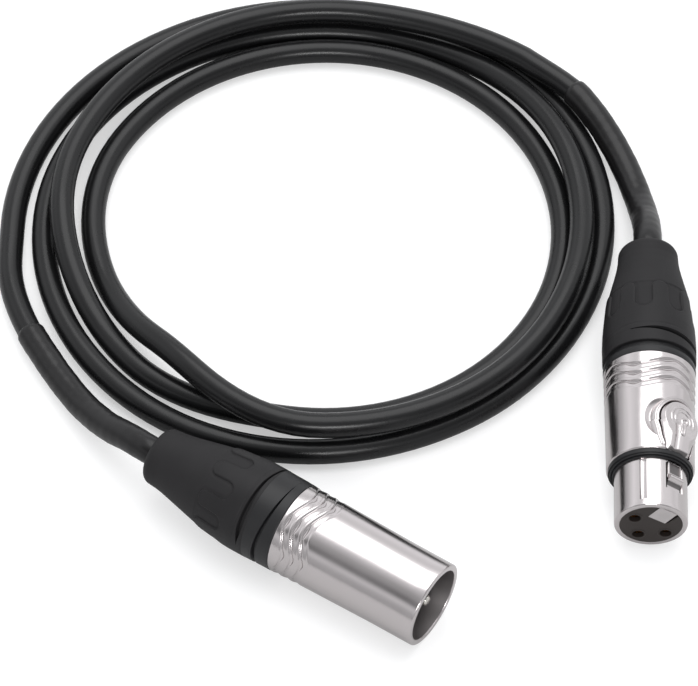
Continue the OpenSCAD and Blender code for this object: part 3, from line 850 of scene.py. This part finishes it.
class MICCABLE_OT_latch(bpy.types.Operator):
    """Makes the rocking latch: the thumb disc with its ribs, the arm and the hook"""
    bl_idname = "miccable.latch"
    bl_label = "Latch"
    # Rings outside the face, as (gap outside an outline, whether the foot's, drop, front)
    side = ((0.0, False, 0.04, 14.3), (0.05, False, 0.1, 14.2), (-0.16, True, 0.74, 13.78),
            (-0.08, True, 0.84, 13.7), (0.0, True, 1.0, 13.66))
    face_rings = 56
    valley = 0.42
    # Two ribs round the keyhole, as (radius, station at which they end)
    ribs = ((2.05, 21.0), (3.05, 20.7))
    # The hook with the scoop in front of it, as (distance from the axis, station)
    hook_side = ((6.8, 5.0), (7.2, 5.0), (7.24, 5.2), (7.08, 5.34), (7.1, 5.8), (7.22, 6.3),
                 (7.5, 6.75), (7.9, 7.02), (8.3, 7.14), (8.4, 7.3), (8.4, 7.6), (8.28, 7.95),
                 (7.9, 8.25), (6.8, 8.3))
    hook_half = 1.75

    def execute(self, context):
        bm = self.head()
        self.bar(bm, 6.75, 7.4, 1.8, 7.6, 27.9)
        self.bar(bm, 7.3, 8.8, 1.8, 15.5, 24.6)
        pocket = self.bar(bm, 7.0, 7.68, 1.78, 8.3, 11.65)
        bmesh.ops.inset_individual(bm, faces=[pocket], thickness=0.36)
        bmesh.ops.inset_individual(bm, faces=[pocket], thickness=0.04)
        bmesh.ops.translate(bm, verts=pocket.verts, vec=(-0.26, 0, 0))
        # Painted shade: the pocket's floor gets the darkened plate, standing for the shadow on the arm
        # seen through the window
        pocket.material_index = 1
        self.hook(bm)
        latch = put("latch_lever", bm, LATCH_FRAME, "latch metal", "painted shade metal",
                    sharp=SHARP_LATCH, body=LATCH_BODY)
        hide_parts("latch")
        return {"FINISHED"}

    def head(self):
        """The head: a face inside the outline, a sloping side down to the foot and a skirt"""
        rings, last = self.face_rings, self.face_rings + len(self.side)
        bm, found = spokes(last + 1)
        inner = outline_of(-0.06, 14.35, False)
        sides = [outline_of(gap, front, wide) for gap, wide, drop, front in self.side]
        for vert, ring, step in found:
            if ring < rings:
                share = (ring + 0.4) / (rings - 0.6)
                y = HEAD_Y + (inner[step][0] - HEAD_Y) * share
                s = HEAD_S + (inner[step][1] - HEAD_S) * share
                vert.co = (self.height(y, s, self.valley), y, s)
            else:
                k = min(ring, last - 1) - rings
                y, s = sides[k][step]
                top = self.height(*inner[step], self.valley if k < 2 else 0.0)
                vert.co = (8.55 if ring == last else top - self.side[k][2], y, s)
        # Painted shade: faces on the front of the side, by the neck, get the darkened plate
        for face in bm.faces:
            middle = face.calc_center_median()
            if middle.z < 14.1 and 8.7 < middle.x and abs(middle.y + 0.1) < 2.4:
                face.material_index = 1
        bmesh.ops.holes_fill(bm, edges=[e for e in bm.edges if e.is_boundary], sides=0)
        bmesh.ops.recalc_face_normals(bm, faces=bm.faces)
        return bm

    def height(self, y, s, valley):
        """Distance of the head's face from the plug's axis: a crown with two ribs round a
        keyhole's ridge, and a valley that runs from it to the front"""
        top = 9.98 - (y - HEAD_Y) ** 2 / 90 - 0.6 * (1 - between(s, 13.8, 18.5))
        far = hypot(y - 0.62, s - 21.75)
        for radius, end in self.ribs:
            rib = 1 - between(abs(far - radius), 0.12, 0.34)
            top += 0.17 * rib * between(s, end - 0.5, end + 0.5)
        top -= 0.1 * (1 - between(far, 3.3, 4.0)) * between(s, 19.3, 21.0)
        share = max(0.0, min(1.0, (s - 18.35) / 2.65))
        tail = hypot(y - 0.42 - 0.5 * share, s - 18.35 - 2.65 * share) - 0.2
        keyhole = min(hypot(y - 1.05, s - 21.5) - 0.5, tail)
        top += 0.2 * (1 - between(abs(keyhole - 0.22), 0.1, 0.32))
        top -= 0.06 * (1 - between(keyhole, -0.25, 0.0))
        middle = -0.75 + 0.04 * (s - 18)
        channel = exp(-((y - middle) / 0.65) ** 2)
        return top - valley * channel * (1 - between(s, 20.0, 21.4)) * between(keyhole, 0.1, 0.45)

    def bar(self, bm, low, high, half, front, back):
        """A bevelled bar of the lever: gives the face on its outer side"""
        made = add_box(bm, low, high, half, front, back)
        result = soften(bm, list({e for v in made for e in v.link_edges}), 0.12)
        faces = {f for v in result["verts"] for f in v.link_faces}
        return max(faces, key=lambda f: (round(f.calc_center_median().x, 3), f.calc_area()))

    def hook(self, bm):
        """The hook at the arm's tip, with painted shade on the scoop in front of it"""
        half = self.hook_half
        prism(bm, [(x, -half, s) for x, s in self.hook_side], (0, 2 * half, 0))
        # Painted shade: the scoop's faces get the darkened plate
        for face in bm.faces:
            middle = face.calc_center_median()
            if 5.9 < middle.z < 6.7 and 7.0 < middle.x < 7.6 and abs(middle.y) < 1:
                face.material_index = 1


class MICCABLE_OT_barrel(bpy.types.Operator):
    """Turns the female barrel with its keyway and latch window, and fills its face"""
    bl_idname = "miccable.barrel"
    bl_label = "Female barrel"

    def execute(self, context):
        rim = fillet([(BARREL_BORE_R, 2, 0), (BARREL_BORE_R, 0, 0.12), (BARREL_R, 0, 0.45),
                      (BARREL_R, 2, 0)])
        profile = [(8.1, 20), (8.1, 22), (BARREL_BORE_R, 22)] + rim
        profile += [(BARREL_R, 11.9), (COLLAR_R, 11.9), (COLLAR_R, 20)]
        bm = lathe(finer(profile, 0.8, 0.5, 11.8), 240)
        barrel = put("female_barrel_body", bm, FEMALE, "nickel plate")
        carve(barrel, self.cutter(LATCH_ANGLE, 5.6, 12, 2.05, 4.9, 24))
        carve(barrel, self.cutter(LATCH_ANGLE, 7.15, 8.15, 2.05, 5.15, 11.2, flare=0.95))
        carve(barrel, self.cutter(LATCH_ANGLE - KEY_OFFSET, 7.15, 12, 0.75, 1.6, 11.85, soft=0.3))
        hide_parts("female_barrel")
        self.plate()
        self.sockets()
        return {"FINISHED"}

    def cutter(self, angle, low, high, half, front, back, soft=0.0, flare=0.0):
        """A box that cuts the barrel's wall: soft rounds its inner edges, and flare widens
        its outer side"""
        bm = bmesh.new()
        for vert in add_box(bm, low, high, half, front, back):
            if flare and vert.co.x > (low + high) / 2:
                vert.co.y += flare if vert.co.y > 0 else -flare
                vert.co.z -= flare if vert.co.z < (front + back) / 2 else 0
        if soft:
            soften(bm, [e for e in bm.edges if all(abs(v.co.x - low) < 0.01 for v in e.verts)],
                   soft, 3)
        bmesh.ops.transform(bm, matrix=FEMALE @ at_angle(angle), verts=bm.verts)
        return bm

    def plate(self):
        """The pale block that stands in the insert's notch"""
        bm = bmesh.new()
        made = add_box(bm, 2.2, 6.4, 2.2, -0.04, 1.56)
        bmesh.ops.translate(bm, vec=(0, -0.2, 0), verts=made)
        soften(bm, bm.edges[:], 0.06)
        obj = put("notch_block", bm, FEMALE @ at_angle(LATCH_ANGLE - 4), "pale plate")

    def sockets(self):
        """The low collars round the three socket holes"""
        collar = fillet([(1.28, 0.05, 0), (1.28, -0.12, 0.05), (1.62, -0.09, 0.08), (1.7, 0.05, 0)])
        bm = bmesh.new()
        for angle in CONTACT_OFFSETS:
            part = lathe(collar, 40)
            bmesh.ops.transform(part, verts=part.verts, matrix=at_angle(LATCH_ANGLE + angle)
                                @ Matrix.Translation((CONTACT_CIRCLE_R, 0, 0)))
            mesh = mesh_of("collar", part)
            bm.from_mesh(mesh)
            bpy.data.meshes.remove(mesh)
        obj = put("socket_collars", bm, FEMALE, "insert plastic")


# ---- narrow slits, drawn by rows of points that move along the plug ----
# Rows round a slit, as shares of the way to the rows that stay
SLIT_ROWS = (-1, -0.8, -0.6, -0.46, -0.38, -0.34, -0.29, -0.24, -0.18, 0, 0.18, 0.24, 0.29, 0.34,
             0.38, 0.46, 0.6, 0.8, 1)
SLIT_FLOOR = 0.19
SLIT_WALL = 0.335
SLIT_EDGE = 0.34


def stations(low, high, gap, base, reach):
    """Stations of rows no further apart than gap, with the slit's own rows round base"""
    count = int((high - low) / gap) + 1
    even = [low + (high - low) * i / count for i in range(count + 1)]
    rows = [s for s in even if abs(s - base) > reach + 0.04]
    return sorted(rows + [base + row * reach for row in SLIT_ROWS])


def slit(s, base, line, half, reach):
    """Draws the rows round base to the slit's line and half width: gives the new station
    and the share of the slit's depth"""
    share = abs(s - base) / reach
    if share >= 1:
        return s, 0.0
    side = 1 if s > base else -1
    room = reach - side * (line - base)
    if share <= SLIT_EDGE:
        out = half * share / SLIT_EDGE
    else:
        out = half + (room - half) * (share - SLIT_EDGE) / (1 - SLIT_EDGE)
    return line + side * out, 1 - between(share, SLIT_FLOOR, SLIT_WALL)


class MICCABLE_OT_rings(bpy.types.Operator):
    """Turns the black coding rings and the ring at the female plug's collar"""
    bl_idname = "miccable.rings"
    bl_label = "Rings"
    # Outlines as (radius, station, rounding)
    female_ring = (
        (SHELL_BORE_R, 38.03, 0), (9.95, 38.03, 0.12), (10.02, 38.7, 0.5), (10.0, 39.5, 0.12),
        (9.3, 39.65, 0.1), (9.25, 40.8, 0.1), (9.6, 40.88, 0), (SHELL_BORE_R, 40.9, 0))
    collar = (
        (COLLAR_R, 11.9, 0), (8.12, 11.85, 0.08), (8.17, 12.3, 0.04), (8.3, 12.5, 0.04),
        (8.36, 12.2, 0.05), (8.66, 12.15, 0.08), (8.72, 12.6, 0.04), (8.82, 12.75, 0.04),
        (8.9, 12.5, 0.05), (9.02, 12.6, 0.06), (9.05, 13.42, 0), (COLLAR_R, 13.42, 0))
    # The male ring's front and back, and its slit
    front, back = 34.72, 41.27
    slit_base, slit_reach = 37.6, 1.5

    def execute(self, context):
        self.male_ring()
        self.finished("female_coding_ring", lathe(fillet(self.female_ring), 224), "female_ring")
        self.finished("collar_ring", lathe(fillet(self.collar), 192), "female_collar_ring")
        return {"FINISHED"}

    def male_ring(self):
        outer = fillet([(SHELL_BORE_R, self.front, 0), (10.0, self.front, 0.25),
                        (10.0, self.front + 0.8, 0)])
        rows = stations(35.6, 41.2, 0.3, self.slit_base, self.slit_reach)
        outer += [(10.0 + 0.15 * (s - 35.5) / 5.75, s) for s in rows]
        bm = lathe(outer + [(10.15, self.back), (SHELL_BORE_R, self.back)], 288)
        reshape(bm, self.relief)
        self.finished("male_coding_ring", bm, "male_ring")

    def relief(self, r, s, angle):
        """A slit that runs round at a slant and is deep below"""
        if r < 9.6 or s < 35.6:
            return r, s
        line = 38.5 - 1.85 * between(angle, -115, 35) + 1.85 * between(angle, 100, 178)
        deep = 1 - between(angle, -20, 25) + between(angle, 120, 178)
        half = 0.05 + 0.45 * deep * (1 - 0.6 * between(angle, -80, 0))
        s, cut = slit(s, self.slit_base, line, half, self.slit_reach)
        return r - 0.95 * between(deep, 0.0, 0.2) * cut, s

    def finished(self, name, bm, node):
        plug = MALE if name.startswith("male") else FEMALE
        obj = put(name, bm, plug, "ring plastic", sharp=SHARP_RING)
        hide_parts(node)


class MICCABLE_OT_boots(bpy.types.Operator):
    """Turns each bushing with its hard fingers, and the soft boot that fills between them"""
    bl_idname = "miccable.boots"
    bl_label = "Boots"
    # Each plug's soft boot's end, its fingers' front and rear, and the angle of one finger
    sides = (("male", MALE, 69.5, 47.0, 53.8, -6), ("female", FEMALE, 71.8, 50.2, 57.4, -32.5))
    # Outside of each bushing and of the soft boot behind it, as (station, radius)
    bushings = {
        "male": ((41.3, 10.18), (45, 10.2), (48, 10.05), (50, 9.88), (52, 9.65), (54, 9.3),
                 (56, 8.9)),
        "female": ((41, 10.12), (45, 10.2), (48, 10.1), (50, 9.96), (52, 9.79), (54, 9.6),
                   (56, 9.4), (58, 9.12), (60, 8.8)),
    }
    soft_parts = {
        "male": ((54, 9.02), (56, 8.6), (58, 8.15), (60, 7.72), (62, 7.28), (64, 6.86),
                 (65.5, 6.62), (67.5, 6.45)),
        "female": ((57.4, 8.98), (59, 8.62), (60, 8.39), (62, 7.9), (64, 7.43), (66, 7.0),
                   (68, 6.7), (69.8, 6.6)),
    }
    # Station and reach of each slit's rows, and the rounding of the front edge
    slits = {"male": (42.35, 1.0, 0.05), "female": (44.0, 1.3, 0.24)}
    fingers = 8
    finger_r = 9.6
    finger_half = 1.95
    corner = 1.6
    end_round = 2

    def execute(self, context):
        step = context.scene.miccable_plug.finger_step
        for side, plug, length, front, rear, phase in self.sides:
            self.bushing(side, plug, step, front, rear, phase)
            self.soft_boot(side, plug, step, length, front, rear, phase)
        return {"FINISHED"}

    def finger(self, s, angle, front, rear, phase):
        """Distance outside the hard fingers"""
        off = near(angle * self.fingers, phase * self.fingers) / self.fingers
        across = abs(radians(off)) * self.finger_r
        middle = radians(180 / self.fingers) * self.finger_r
        half, corner = self.finger_half, self.corner
        if s > front + corner:
            side = across - half
            tip = hypot(max(0.0, across - half + corner), max(0.0, s - rear + corner)) - corner
            return max(side, tip) if s > rear - corner else side
        gap = middle - half
        bend = hypot(middle - across, max(0.0, front + gap - s))
        return gap - bend if s < front + gap else across - half

    def slit_at(self, side, angle):
        """Line, half width, share of the depth and ledge line of the bushing's slit"""
        if side == "male":
            line = 42.45 - 0.8 * between(angle, -5, 42)
            half = 0.62 * between(angle, -93, -58) * (1 - 0.6 * between(angle, -45, 20))
            deep = between(angle, -92, -84) * (1 - between(angle, 62, 80))
            return line, half, deep, line + 1.15
        line = 44.1 - 0.8 * between(angle, 0, 80)
        half = 0.1 + 0.46 * between(angle, -28, 30) * (1 - between(angle, 90, 112))
        deep = between(angle, -28, -19) * (1 - between(angle, 100, 112))
        return line, half, deep, 45.5 - 1.3 * (1 - between(angle, -80, -20))

    def bushing(self, side, plug, step, front, rear, phase):
        body = self.bushings[side]
        begin, wide = body[0]
        base, reach, rounding = self.slits[side]
        outer = fillet([(SHELL_BORE_R, begin - 0.02, 0), (wide, begin - 0.02, rounding),
                        (wide + 0.01, begin + 0.4, 0)])
        outer += [(along(body, s), s) for s in stations(begin + 0.5, rear + 0.6, 0.12, base, reach)
                  if s > begin + 0.45]
        profile = outer + [(outer[-1][0] - 1.8, outer[-1][1]), (7.4, 46), (7.4, begin)]
        bm = lathe(profile, 288)

        def relief(r, s, angle):
            if r < 8.2 or s < begin + 0.1:
                return r, s
            line, half, deep, ledge = self.slit_at(side, angle)
            s, cut = slit(s, base, line, max(0.03, half), reach)
            fade = between(angle, -95, -60) * (1 - between(angle, 15, 50))
            r -= deep * cut + 0.08 * fade * exp(-((s - ledge) / 0.2) ** 2)
            if s > front - 0.5:
                r -= (step + 0.7) * between(self.finger(s, angle, front, rear, phase), -0.14, 0.2)
            return r, s

        reshape(bm, relief)
        obj = put(side + "_bushing", bm, plug, "bushing plastic", sharp=SHARP_TURNED)
        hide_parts(side + "_boot")

    def soft_boot(self, side, plug, step, length, front, rear, phase):
        body, behind = self.bushings[side], self.soft_parts[side]
        start, join, (last, end_r) = front - 0.9, behind[0][0], behind[-1]
        outer = []
        for low, high, gap, line, sink in ((start, join, 0.15, body, step),
                                           (join, last, 0.3, behind, 0)):
            count = int((high - low) / gap)
            rows = [low + (high - low) * i / count for i in range(count)]
            outer += [(along(line, s) - sink, s) for s in rows]
        bend = self.end_round
        outer += [(end_r - bend + bend * cos(radians(a)), length - bend + bend * sin(radians(a)))
                  for a in range(0, 91, 6)]
        outer += [(3.7, length), (3.3, length - 0.35), (3.25, length - 7), (7.6, start)]
        bm = lathe(outer, 288)

        def relief(r, s, angle):
            if r < 6.7 or s > rear + 2.5 or s < front - 0.8:
                return r, s
            gap = self.finger(s, angle, front, rear, phase)
            groove = exp(-((gap - 0.28) / 0.2) ** 2)
            return r - 0.1 * groove - 0.1 * (1 - between(gap, -0.3, 0.1)), s

        reshape(bm, relief)
        obj = put(side + "_soft_boot", bm, plug, "soft boot rubber", sharp=SHARP_TURNED)
        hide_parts(side + "_boot_sleeve")


class MICCABLE_OT_finishes(bpy.types.Operator):
    """Makes the materials, and gives the pieces that keep their solid shape theirs"""
    bl_idname = "miccable.finishes"
    bl_label = "Finishes"

    def execute(self, context):
        plug = context.scene.miccable_plug
        plate = plated("nickel plate", plug.plate, 0.2)
        latch = plated("latch metal", plug.plate, 0.22, 1.04)
        # Satin plate at half the colour for the male bore: a real duller finish, darkened with painted
        # shade
        plated("satin bore with painted shade", plug.plate, 0.5, 0.5)
        # Painted shade: the nickel plate at 0.3 of its colour, put on the latch's front side, its arm's
        # pocket and the hook's scoop to darken them
        plated("painted shade metal", plug.plate, 0.4, 0.3)
        moulded("pale plate", (0.4, 0.375, 0.375), 0.4)
        moulded("bushing plastic", plug.boot, 0.5, gloss=0.17)
        moulded("soft boot rubber", [c * 1.1 for c in plug.boot], 0.6, gloss=0.17)
        ring = moulded("ring plastic", (0.012, 0.012, 0.013), 0.42)
        insert = moulded("insert plastic", plug.insert, 0.5)
        gold = plated("gold plate", (0.75, 0.52, 0.25), 0.24)
        silver = plated("silver plate", (0.62, 0.60, 0.56), 0.22)
        finish = {
            "male_shell": plate, "female_shell": plate, "female_barrel": plate, "latch": latch,
            "male_ring": ring, "female_ring": ring, "female_collar_ring": ring,
            "male_insert": insert, "female_insert": insert,
            "male_pins": silver, "female_contacts": gold,
        }
        for name, node in NODES.items():
            node.data.materials.clear()
            node.data.materials.append(finish.get(name, silver))
        return {"FINISHED"}


OPERATORS = (
    MICCABLE_OT_stage, MICCABLE_OT_cable, MICCABLE_OT_finishes, MICCABLE_OT_sleeves,
    MICCABLE_OT_male_shell, MICCABLE_OT_female_shell, MICCABLE_OT_latch, MICCABLE_OT_barrel,
    MICCABLE_OT_rings, MICCABLE_OT_boots)


class MICCABLE_PT_panel(bpy.types.Panel):
    """Lists the pieces of the cable coil"""
    bl_idname = "MICCABLE_PT_panel"
    bl_label = "Microphone cable coil"
    bl_space_type = "VIEW_3D"
    bl_region_type = "UI"
    bl_category = "Cable Coil"

    def draw(self, context):
        for operator in OPERATORS:
            self.layout.operator(operator.bl_idname)
        for group in (context.scene.miccable_cable, context.scene.miccable_plug,
                      context.scene.miccable_stage):
            box = self.layout.box()
            for name in group.__annotations__:
                box.prop(group, name)


CLASSES = SETTINGS + OPERATORS + (MICCABLE_PT_panel,)


def register():
    for item in CLASSES:
        bpy.utils.register_class(item)
    scene = bpy.types.Scene
    scene.miccable_cable = bpy.props.PointerProperty(type=CableSettings)
    scene.miccable_plug = bpy.props.PointerProperty(type=PlugSettings)
    scene.miccable_stage = bpy.props.PointerProperty(type=StageSettings)


def unregister():
    for name in ("miccable_cable", "miccable_plug", "miccable_stage"):
        delattr(bpy.types.Scene, name)
    for item in reversed(CLASSES):
        bpy.utils.unregister_class(item)


def main():
    register()
    bpy.ops.miccable.stage()
    bpy.ops.miccable.cable()
    bpy.ops.miccable.finishes()
    bpy.ops.miccable.sleeves()
    bpy.ops.miccable.male_shell()
    bpy.ops.miccable.female_shell()
    bpy.ops.miccable.latch()
    bpy.ops.miccable.barrel()
    bpy.ops.miccable.rings()
    bpy.ops.miccable.boots()


if __name__ == "__main__":
    main()
